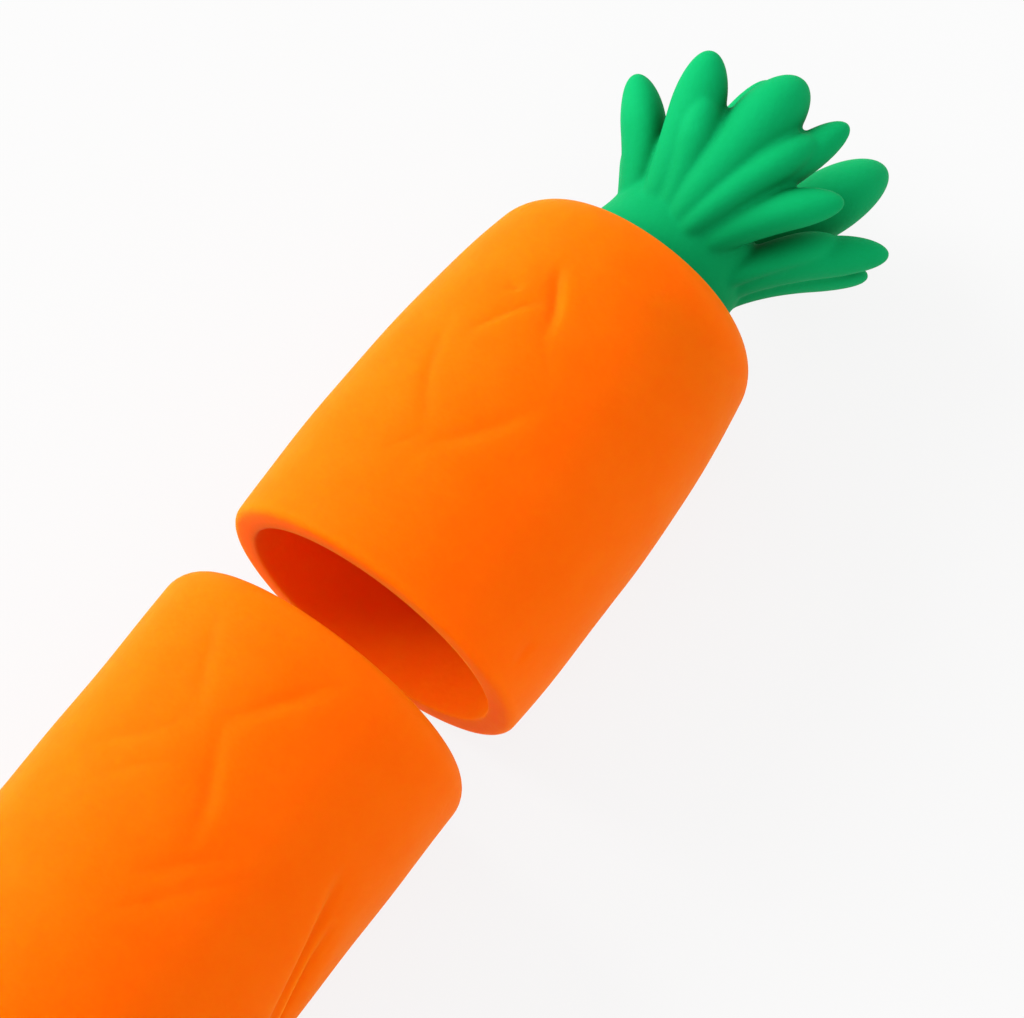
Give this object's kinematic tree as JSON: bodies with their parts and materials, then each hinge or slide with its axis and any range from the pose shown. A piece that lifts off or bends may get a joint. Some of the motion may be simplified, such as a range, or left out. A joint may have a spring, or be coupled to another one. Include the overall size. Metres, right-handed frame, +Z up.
{
  "type": "stylus sleeve",
  "caption": "Carrot-shaped silicone sleeve for a round stylus: a long tapered tube, and a pull-off cap with a tuft of green leaves over the stylus's tail.",
  "frame": {"origin": "centre of the sleeve body's mouth, on the axis of the bore", "axes": "+X along the bore, out of the body's mouth toward the cap and its leaves; +Z up, with the sleeve lying on its side"},
  "size_m": [0.1695, 0.0112, 0.011],
  "materials": {
    "orange_silicone": "matte soft-touch silicone",
    "green_silicone": "matte soft-touch silicone"
  },
  "bodies": {
    "sleeve": {"sleeve_body": "orange_silicone"},
    "cap": {"cap_shell": "orange_silicone", "leaf_tuft": "green_silicone"}
  },
  "joints": [
    {"name": "cap_pull", "type": "slide", "parent": "sleeve", "child": "cap", "axis": [1, 0, 0], "range_m": [-0.00205, 0.17]}
  ]
}
